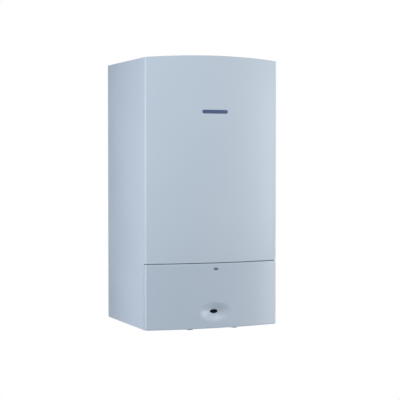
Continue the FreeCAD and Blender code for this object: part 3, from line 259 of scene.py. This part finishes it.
# Name place: a plain navy bar of printed film that follows the bowed front.
navy_film = coated("printed_navy_film", "#53648a", "#4b5c80", 1.5, 0.03, 0.32, patch=40)
bar_half, bar_height, bar_level, bar_round, film = 0.043, 0.0115, 0.6835, 0.0045, 0.0004
bar_low, bar_high = bar_level - bar_height / 2, bar_level + bar_height / 2
bar = bmesh.new()
box(bar, (-bar_half, -depth - film, bar_low), (bar_half, -depth, bar_high))
rounded(bar, lying(bar, Y), bar_round, 5)
divided(bar, lying(bar, X), 23)
for vert in bar.verts:
    vert.co.y -= rise(vert.co.x, half - corner, front_bow)
finished("name_bar", bar, navy_film, "boiler")


# Flap: a hollow ABS moulding in the jacket's colour, bowed like the front and hinged along its lower edge.
# A shallow oval finger dish is moulded into it; lugs for the hinge pins and a striker for the catch stand inside.
# Its corners and side returns get a painted highlight, a lighter colour that brings them in step with the lit sides
# of the jacket.
moulded_white = coated("moulded_white_abs", "#b8c5d3", "#b4c1d0", 1.6, 0.05, 0.36, patch=180,
                       coat=0.1, coat_rough=0.16, specular=0.3)
# Painted highlight: a lighter colour over the last millimetres of both sides of the flap.
lighten(moulded_white, near_fold(moulded_white, "X", half), "#c2cfdc")

flap_top, flap_rear, flap_bow, flap_round = 0.2060, -0.3596, 0.0246, 0.0028
flap_wall, flap_wall_round = 0.0024, 0.0005
dish_level, dish_deep, dish_wide, dish_high, dish_margin = 0.053, 0.013, 0.060, 0.033, 0.005
flap = bmesh.new()
box(flap, (-half, -depth, 0), (half, flap_rear, flap_top))
dropped(flap, [face for face in flap.faces if face.normal.y > 0.9])
rounded(flap, [edge for edge in lying(flap, Z) if edge.verts[0].co.y < -depth + near], corner, 6)
rim = [edge for edge in flap.edges if all(vert.co.y < -depth + corner + 10 * near for vert in edge.verts)
       and abs(edge.verts[0].co.z - edge.verts[1].co.z) < near]
rounded(flap, rim, flap_round, 4)
divided(flap, [edge for edge in lying(flap, X) if edge.calc_length() > half], 85)
divided(flap, [edge for edge in lying(flap, Z) if edge.calc_length() > flap_top / 2], 39)
oval = {edge for face in flap.faces for edge in face.edges
        if face.normal.y < -0.99 and abs(face.calc_center_median().x) < dish_wide + dish_margin
        and abs(face.calc_center_median().z - dish_level) < dish_high + dish_margin}
divided(flap, list(oval), 3)
for vert in flap.verts:
    if vert.co.y < -depth + corner and abs(vert.co.x) < half - corner + near:
        vert.co.y -= rise(vert.co.x, half - corner, flap_bow)
    inside = 1 - (vert.co.x / dish_wide) ** 2 - ((vert.co.z - dish_level) / dish_high) ** 2
    if inside > 0 and vert.co.y < -depth:
        vert.co.y += dish_deep * inside ** 2


def underside():
    return [face for face in flap.faces if face.normal.z < -0.9 and face.calc_center_median().z < 10 * near]


# The lower edge is notched at the two hinges.
hinge_places, notch_half, notch_front = (-0.0765, 0.0765), 0.0046, -0.3821
cuts = [((x + side * notch_half, 0, 0), (1, 0, 0)) for x in hinge_places for side in (-1, 1)]
for place, normal in cuts + [((0, notch_front, 0), (0, 1, 0))]:
    parts = {part for face in underside() for part in (*face.verts, *face.edges, face)}
    bmesh.ops.bisect_plane(flap, geom=list(parts), plane_co=place, plane_no=normal)
    flap.normal_update()
dropped(flap, [face for face in underside() if face.calc_center_median().y > notch_front
               and min(abs(face.calc_center_median().x - x) for x in hinge_places) < notch_half])
flap = finished("flap_moulding", flap, moulded_white, "flap", "control_flap")
walled(flap, flap_wall, flap_wall_round)


def turned(form, place, across, radius, tip, length, segments):
    """Adds a cylinder or cone that is laid down by a quarter turn about an axis."""
    matrix = Matrix.Translation(place) @ Matrix.Rotation(math.pi / 2, 4, across)
    bmesh.ops.create_cone(form, cap_ends=True, segments=segments, radius1=radius, radius2=tip, depth=length,
                          matrix=matrix)


def sharp(form):
    """Edges where the faces turn by more than a radian."""
    return [edge for edge in form.edges if edge.calc_face_angle(0) > 1]


lug_side, lug_level, lug_radius, lug_thick = 0.00685, 0.0015, 0.0065, 0.0045
striker_low, striker_high = (-0.007, -0.3982, 0.1835), (0.007, -0.352, 0.1955)
fittings = bmesh.new()
for x in hinge_places:
    for side in (-1, 1):
        turned(fittings, (x + side * lug_side, -depth, lug_level), "Y", lug_radius, lug_radius, lug_thick, 40)
box(fittings, striker_low, striker_high)
rounded(fittings, sharp(fittings), 0.0005, 2)
finished("flap_lugs", fittings, moulded_white, "flap")


# Press mark: a small plain patch with round ends, printed on the flap over the catch.
# It shows where a thumb presses to open the flap.
grey_film = coated("printed_grey_film", "#6c7a8e", "#647286", 1.5, 0.03, 0.36, patch=20)
mark_left, mark_right, mark_low, mark_high, mark_round = -0.0045, 0.0105, 0.184, 0.192, 0.0035
mark = bmesh.new()
box(mark, (mark_left, -depth - flap_bow - film, mark_low), (mark_right, -depth - flap_bow, mark_high))
rounded(mark, lying(mark, Y), mark_round, 6)
finished("press_mark", mark, grey_film, "flap")


# Lens: a small oval of smoked acrylic in the floor of the dish, over the status light.
# It is polished and slightly domed.
smoked = coated("smoked_acrylic", "#0c1220", "#090e19", 6.0, 0.01, 0.2, patch=30, specular=0.12)
lens_place, lens_half = (0, -0.3862, dish_level), (0.0147, 0.0034, 0.0073)
lens = bmesh.new()
bmesh.ops.create_uvsphere(lens, u_segments=40, v_segments=20, radius=1.0,
                          matrix=Matrix.Translation(lens_place) @ Matrix.Diagonal((*lens_half, 1)))
finished("lens_dome", lens, smoked, "flap", "flap_lens")


# Steel fasteners: bright turned hinge pins and zinc-plated pan-head screws under the jacket's feet.
# Drawn steel is brushed along its length, which stretches the light into streaks.
def metal(name, light, dark, patch, grain, roughness, relief=0.1, stretch=(1, 1, 1)):
    """Bare metal: patches of tone over patch mm, and grain in mm that also breaks up the gloss."""
    finish = blank(name)
    place = add(finish, "Mapping", {"Vector": spot(finish), "Scale": stretch}).outputs["Vector"]
    patches = ranged(finish, noise(finish, place, patch, 4.0), 0.0, 1.0, 0.35, 0.65)
    grit = noise(finish, place, grain, 3.0)
    bump = add(finish, "Bump", {"Height": grit, "Strength": relief, "Distance": grain * 0.0002})
    plug(finish, shader(finish), {
        "Base Color": mixed(finish, patches, linear(dark), linear(light)), "Metallic": 1.0,
        "Roughness": ranged(finish, grit, roughness - 0.08, roughness + 0.08, 0.3, 0.7),
        "Normal": bump.outputs["Normal"]})
    return finish


drawn_steel = metal("drawn_stainless_steel", "#c9c9c6", "#b4b4b2", 20, 1.2, 0.28, stretch=(0.1, 1, 1))
dress(drawn_steel, "flap_hinge_pins", "three_way_stem", "pump_rotor")


def softened(name, node, finish, body, width):
    """A merged copy of a CAD node whose sharp edges are broken by a small round."""
    form = bmesh.new()
    form.from_mesh(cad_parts[node].data)
    bmesh.ops.remove_doubles(form, verts=form.verts[:], dist=near)
    bmesh.ops.dissolve_limit(form, angle_limit=math.radians(0.6), verts=form.verts[:], edges=form.edges[:])
    thing = finished(name, form, finish, body, node)
    broken(thing, width)
    return thing


zinc = metal("zinc_plated_steel", "#c4c6c6", "#aeb2b4", 9, 0.9, 0.3)
softened("foot_screws", "jacket_screws", zinc, "boiler", 0.0008)


# Chassis: the back plate, pipe bracket, arms and rails, folded from hot-dip galvanised sheet.
# Zinc cools into spangles about 14 mm wide, each with its own tone and gloss.
galvanised = blank("galvanised_sheet")
spangle_wide, stain_wide = 14, 90
spangle = add(galvanised, "TexVoronoi", {"Vector": spot(galvanised), "Scale": 1000 / spangle_wide,
                                         "Randomness": 1.0})
cell = add(galvanised, "SeparateColor", {"Color": spangle.outputs["Color"]})
zinc_tone = mixed(galvanised, cell.outputs["Red"], linear("#8f979b"), linear("#bcc2c4"))
stain = noise(galvanised, spot(galvanised), stain_wide, 4.0)
plug(galvanised, shader(galvanised), {
    "Base Color": mixed(galvanised, stain, zinc_tone, linear("#a4abae")), "Metallic": 1.0,
    "Roughness": ranged(galvanised, cell.outputs["Green"], 0.34, 0.5)})
dress(galvanised, "back_plate", "pipe_bracket", "control_arms", "chamber_rails")


# Control box: a tub and catch block moulded in grey glass-filled nylon, closed in front by a pale ABS fascia.
# Both are spark-eroded, a dull grain that hides sink marks.
grey_nylon = coated("moulded_grey_nylon", "#757c84", "#6a7179", 1.2, 0.25, 0.52, patch=60)
pale_abs = coated("moulded_pale_abs", "#ccd3d9", "#c4ccd3", 1.0, 0.2, 0.44, patch=70)
dress(grey_nylon, "control_housing")
softened("fascia_panel", "control_fascia", pale_abs, "boiler", 0.0006)


# Catch: a spring plunger of navy acetal that the flap's striker pushes in.
navy_acetal = coated("moulded_navy_acetal", "#28345a", "#222d50", 0.9, 0.15, 0.36, patch=30)
softened("catch_plunger", "latch_plunger", navy_acetal, "catch", 0.0007)


# Knobs: two navy turning knobs with a raised grip and a white pointer, on the heating and hot water controls.
# A ring of printed ticks on the fascia goes from low to high round each of them.
def edges_of(verts):
    return list({edge for vert in verts for edge in vert.link_edges})


def spoke(form, low, high, degrees, x):
    """Adds a box that is drawn upright over the origin, turned about y and moved to a dial's middle."""
    line = box(form, low, high)
    bmesh.ops.rotate(form, verts=line, cent=(0, 0, 0), matrix=Matrix.Rotation(math.radians(degrees), 3, "Y"))
    bmesh.ops.translate(form, verts=line, vec=(x, 0, knob_row))


white_print = coated("white_print", "#eef1f4", "#e6eaee", 0.8, 0.05, 0.4, patch=20)
dark_print = coated("dark_print", "#3a4250", "#333b48", 0.8, 0.05, 0.45, patch=20)
fascia_front, knob_row = -0.341, 0.112
knob_foot, knob_tip, knob_long, knob_middle = 0.022, 0.0195, 0.019, fascia_front - 0.010
knob_rim, knob_round, flute_edge, flute_deep = fascia_front - 0.018, 0.0012, 0.0003, 0.0007
grip_front, grip_back, grip_half, grip_reach, grip_round = -0.3645, -0.3565, 0.0045, 0.0175, 0.0016
pointer_front, pointer_back, pointer_half, pointer_low, pointer_high = -0.36472, -0.3640, 0.0007, 0.004, 0.0165
tick_front, tick_back, tick_half, tick_inner = fascia_front - 0.00015, fascia_front + 0.0001, 0.0005, 0.0245
long_tick, short_tick, lowest, tick_step = 0.0042, 0.0026, -135, 27
for label, body, x in (("heating", "heating_dial", -0.140), ("hot_water", "hot_water_dial", -0.072)):
    knob = bmesh.new()
    turned(knob, (x, knob_middle, knob_row), "X", knob_foot, knob_tip, knob_long, 72)
    sides = [face for face in knob.faces if len(face.verts) == 4]
    bmesh.ops.inset_individual(knob, faces=sides[::2], thickness=flute_edge, depth=-flute_deep)
    front_rim = [edge for edge in sharp(knob) if all(vert.co.y < knob_rim for vert in edge.verts)]
    rounded(knob, front_rim, knob_round, 3)
    grip = box(knob, (x - grip_half, grip_front, knob_row - grip_reach),
               (x + grip_half, grip_back, knob_row + grip_reach))
    rounded(knob, edges_of(grip), grip_round, 3)
    finished(label + "_turning_knob", knob, navy_acetal, body, label + "_knob")
    pointer = bmesh.new()
    line = box(pointer, (x - pointer_half, pointer_front, knob_row + pointer_low),
               (x + pointer_half, pointer_back, knob_row + pointer_high))
    rounded(pointer, edges_of(line), 0.0001, 1)
    finished(label + "_pointer", pointer, white_print, body)
    ticks = bmesh.new()
    for step in range(11):
        tick_outer = tick_inner + (short_tick if step % 5 else long_tick)
        spoke(ticks, (-tick_half, tick_front, tick_inner), (tick_half, tick_back, tick_outer),
              lowest + tick_step * step, x)
    finished(label + "_ticks", ticks, dark_print, "boiler")


# Keys: a round main switch and three smaller push keys of dyed ABS, with rounded rims.
# The reset key is red; the others are navy.
red_abs = coated("moulded_red_abs", "#a4242a", "#961e25", 0.9, 0.12, 0.36, patch=30)
for node, body, finish, slot in (("main_switch", "power_key", navy_acetal, "navy_moulding"),
                                 ("reset_button", "reset_key", red_abs, "red_moulding"),
                                 ("service_button", "service_key", navy_acetal, "navy_moulding"),
                                 ("eco_button", "eco_key", navy_acetal, "navy_moulding")):
    softened(node + "_key", node, finish, body, 0.0009)


# Display: a smoked acrylic window with a two-figure readout behind it, drawn as seven-bar numerals.
window = softened("display_pane", "display_window", smoked, "boiler", 0.0005)
lit = blank("lit_readout")
glow = mixed(lit, noise(lit, spot(lit), 2.5), linear("#d8843a"), linear("#f0a050"))
plug(lit, shader(lit), {"Base Color": glow, "Emission Color": glow, "Emission Strength": 0.6, "Roughness": 0.3})
figure_half, figure_rise, lit_deep = 0.0038, 0.0078, 0.0001
flat_reach, upright_reach = Vector((0.0030, lit_deep, 0.0007)), Vector((0.0007, lit_deep, 0.0031))
bars = {"top": (0, 1, True), "middle": (0, 0, True), "bottom": (0, -1, True), "upper_left": (-1, 0.5, False),
        "upper_right": (1, 0.5, False), "lower_left": (-1, -0.5, False), "lower_right": (1, -0.5, False)}
readout = bmesh.new()
for place, missing in ((0.006, "upper_right"), (0.020, "middle")):
    for name, (across, up, flat) in bars.items():
        if name != missing:
            middle = Vector((place + across * figure_half, fascia_front - lit_deep, knob_row + up * figure_rise))
            reach = flat_reach if flat else upright_reach
            box(readout, middle - reach, middle + reach)
finished("display_numerals", readout, lit, "boiler")


# Pressure gauge: a black cup with a rim, a white printed dial, a black pointer and a clear front glass.
# The dial has ticks for 0 to 4 bar, a green working band and a red band at its end.
black_nylon = coated("moulded_black_nylon", "#24272b", "#1d2023", 1.0, 0.2, 0.45, patch=40)
softened("gauge_cup", "gauge_case", black_nylon, "boiler", 0.0006)
gauge_x, dial_front, dial_radius, dial_thick = 0.112, -0.3250, 0.0257, 0.0012
dial = bmesh.new()
turned(dial, (gauge_x, dial_front + dial_thick / 2, knob_row), "X", dial_radius, dial_radius, dial_thick, 64)
rounded(dial, sharp(dial), 0.0003, 2)
finished("gauge_dial", dial, white_print, "boiler")
green_print = coated("green_print", "#2f8a4a", "#297c42", 0.8, 0.05, 0.45, patch=20)
red_print = coated("red_print", "#b32a2c", "#a52528", 0.8, 0.05, 0.45, patch=20)
step_degrees, line_half, band_half, line_short = 6.75, 0.0003, 0.0012, 0.0014
print_front, print_back = dial_front - 0.0002, dial_front + 0.0001
for name, finish, slot, steps, inner, outer in (
        ("gauge_ticks", dark_print, "navy_moulding", range(-20, 21, 2), 0.0205, 0.0240),
        ("gauge_green_band", green_print, "board_green", range(-8, 7), 0.0175, 0.0195),
        ("gauge_red_band", red_print, "red_moulding", range(13, 21), 0.0175, 0.0195)):
    marks = bmesh.new()
    for step in steps:
        broad = line_half if finish is dark_print else band_half
        short = line_short if finish is dark_print and step % 10 else 0
        spoke(marks, (-broad, print_front, inner + short), (broad, print_back, outer), step * step_degrees, gauge_x)
    finished(name, marks, finish, "boiler")
dress(coated("blackened_pointer", "#1a1b1e", "#141518", 0.6, 0.1, 0.4, patch=10), "gauge_needle")


def see_through(name, tint, lump, polished, dulled, bending, share):
    """Clear glass or acrylic whose gloss changes over lumps of so many mm."""
    finish = blank(name)
    haze = ranged(finish, noise(finish, spot(finish), lump), polished, dulled)
    plug(finish, shader(finish), {"Base Color": linear(tint), "Roughness": haze, "IOR": bending,
                                  "Transmission Weight": share})
    return finish


dress(see_through("clear_gauge_glass", "#f4f8f8", 25, 0.02, 0.07, 1.5, 1.0), "gauge_glass")


# Light guide: a clear acrylic rod that carries the status light from the board to the lens in the flap.
clear = see_through("clear_acrylic_rod", "#e4efec", 6, 0.08, 0.22, 1.49, 0.7)
softened("guide_rod", "light_guide", clear, "boiler", 0.0007)


# Circuit board: glass-epoxy sheet under green solder resist, with the lighter lines of its copper tracks.
board = coated("green_solder_resist", "#1d6a3c", "#175a33", 0.7, 0.1, 0.3, patch=25)
upright = add(board, "Mapping", {"Vector": spot(board), "Rotation": (math.pi / 2, 0, 0)})
tracks = add(board, "TexBrick", {
    "Vector": upright.outputs["Vector"], "Color1": linear("#1d6a3c"), "Color2": linear("#196237"),
    "Mortar": linear("#3f9a5c"), "Scale": 40.0, "Mortar Size": 0.03})
plug(board, shader(board), {"Base Color": tracks.outputs["Color"]})
dress(board, "control_board")


# Cable gland: a black nylon bush in the floor of the control box.
softened("gland_bush", "cable_gland", black_nylon, "boiler", 0.0008)


# Pipe tails: five turned brass unions that hang below the casing, threaded at their lower ends.
# The thread's 1.8 mm pitch is drawn as a fine wave up the tail.
pitch = 0.0018
brass = metal("turned_brass", "#c9a55c", "#b08c48", 30, 1.5, 0.3)
thread = metal("threaded_brass", "#c9a55c", "#b08c48", 30, 1.5, 0.32)
level = add(thread, "SeparateXYZ", {"Vector": spot(thread)}).outputs["Z"]
turns = add(thread, "Math", {0: level, 1: 2 * math.pi / pitch}, operation="MULTIPLY")
wave = add(thread, "Math", {0: turns.outputs["Value"]}, operation="SINE")
hanging = add(thread, "Math", {0: level, 1: 0.0}, operation="LESS_THAN")
cut = add(thread, "Math", {0: wave.outputs["Value"], 1: hanging.outputs["Value"]}, operation="MULTIPLY")
ridges = add(thread, "Bump", {"Height": cut.outputs["Value"], "Strength": 0.8, "Distance": 0.0006})
plug(thread, shader(thread), {"Normal": ridges.outputs["Normal"]})
softened("union_tails", "connection_tails", thread, "boiler", 0.0006)


# Brass fittings: the diverter valve body, the safety valve and the air vent, cast and turned brass.
dress(brass, "three_way_valve", "relief_valve", "air_vent")


# Valve motor, flow sensor, coils and spill sensor: black glass-filled nylon housings.
dress(black_nylon, "three_way_actuator", "flow_sensor", "gas_valve_coils", "spillage_sensor")


# Safety valve cap: a red moulded cap that turns a quarter turn to test the valve.
softened("relief_cap", "relief_knob", red_abs, "relief_handle", 0.0012)


# Flow turbine: a small wheel of pale acetal that the cold water spins.
dress(pale_abs, "flow_turbine")


# Plate exchanger, burner blades and burner frame: pressed stainless sheet, drawn in streaks up its height.
stainless = metal("pressed_stainless_sheet", "#c6c4be", "#a9a8a6", 45, 1.4, 0.34, stretch=(1, 1, 0.2))
dress(stainless, "plate_exchanger", "burner_blades", "burner_frame")


# Copper pipes: half-hard drawn tube, dulled in patches by handling and flux.
copper = metal("drawn_copper_tube", "#c4805c", "#9d5e42", 40, 2.0, 0.32)
dress(copper, "cold_water_pipe", "flow_pipe", "return_pipe", "vessel_pipe")


# Main exchanger: copper fins and tubes in a copper frame, browned by the flame.
browned_copper = metal("flame_browned_copper", "#a86a4a", "#6d4636", 35, 2.5, 0.46, relief=0.2)
dress(browned_copper, "exchanger_frame", "exchanger_fins", "exchanger_tubes")


# Pump: a cast-iron volute with a grey wash coat, and a motor can in black stove enamel.
cast_iron = coated("washed_cast_iron", "#4b5055", "#3b4044", 3.0, 0.6, 0.62, patch=25)
stove_black = coated("black_stove_enamel", "#2a2d31", "#222529", 2.0, 0.1, 0.34, patch=60)
dress(cast_iron, "pump_volute")
dress(stove_black, "pump_motor")


# Expansion vessel: two pressed steel bowls welded together and dipped in red primer.
red_primer = coated("red_dipped_steel", "#9c2f28", "#8a2822", 3.5, 0.12, 0.42, patch=80)
dress(red_primer, "expansion_vessel")


# Gas valve, feed pipe and manifold: die-cast and drawn aluminium with a dull as-cast skin.
die_cast = metal("die_cast_aluminium", "#b4b7b9", "#9b9fa2", 18, 1.6, 0.46, relief=0.3)
dress(die_cast, "gas_valve", "burner_feed_pipe", "burner_manifold")


# Electrodes: steatite porcelain rods, glazed cream white.
dress(coated("glazed_porcelain", "#e6dfd0", "#dcd4c4", 2.0, 0.05, 0.22, patch=15, coat=0.5), "electrodes")


# Combustion chamber, draught hood and flue collar: aluminised steel sheet, mottled by its dip coat.
aluminised = metal("aluminised_steel", "#b3b6b8", "#94989b", 28, 2.2, 0.42, relief=0.15)
dress(aluminised, "combustion_chamber", "draught_hood")
softened("flue_socket_ring", "flue_collar", aluminised, "boiler", 0.0005)


# Chamber lining: pressed ceramic fibre board, chalky and slightly woolly.
dress(coated("ceramic_fibre_board", "#ddd6c6", "#cfc7b5", 1.8, 0.8, 0.9, patch=30), "chamber_insulation")


# Studio: a pale floor 1.3 m below the hung boiler, a white surround that lights it dimly, and four soft lamps.
floor_level, floor_radius = -1.30, 4.8
floor_paint = coated("pale_floor", "#e0e2e4", "#dcdee0", 60.0, 0.02, 0.7, patch=900)
ground = bmesh.new()
bmesh.ops.create_circle(ground, cap_ends=True, segments=96, radius=floor_radius,
                        matrix=Matrix.Translation((0, -0.2, floor_level)))
mesh = bpy.data.meshes.new("floor")
ground.to_mesh(mesh)
ground.free()
mesh.materials.append(floor_paint)
floor = bpy.data.objects.new("floor", mesh)
scene.collection.objects.link(floor)

# The surround is brighter overhead, and plain white where the camera looks straight at it.
world = bpy.data.worlds.new("studio")
scene.world = world
world.use_nodes = True
heading = add(world, "SeparateXYZ", {"Vector": add(world, "TexCoord", {}).outputs["Generated"]})
dim, bright = 0.155, 0.36
soft = ranged(world, heading.outputs["Z"], dim, bright, 0.2, 0.9)
looked_at = add(world, "LightPath", {}).outputs["Is Camera Ray"]
strength = add(world, "Mix", {0: looked_at, 2: soft, 3: 1.0})
plug(world, world.node_tree.nodes["Background"], {"Color": (1.0, 1.0, 1.0, 1.0), "Strength": strength.outputs[0]})
scene.view_settings.view_transform = "Standard"

aim = Vector((0, -0.2, 0.45))
for name, place, width, tall, power, tint in (
        ("key", (2.75, -2.1, 0.55), 1.2, 2.5, 60, "#fffefb"),
        ("top", (0.7, -2.8, 3.8), 1.6, 1.2, 64, "#ffffff"),
        ("back", (1.0, 2.6, 1.3), 1.6, 1.6, 55, "#ffffff"),
        ("fill", (-1.8, -0.66, 0.70), 0.5, 1.8, 26, "#f6f9ff")):
    lamp = bpy.data.lights.new(name, "AREA")
    lamp.shape, lamp.size, lamp.size_y = "RECTANGLE", width, tall
    lamp.energy, lamp.color = power, linear(tint)[:3]
    light = bpy.data.objects.new(name, lamp)
    light.location, light.visible_camera = place, False
    light.rotation_euler = (aim - light.location).to_track_quat("-Z", "Y").to_euler()
    scene.collection.objects.link(light)
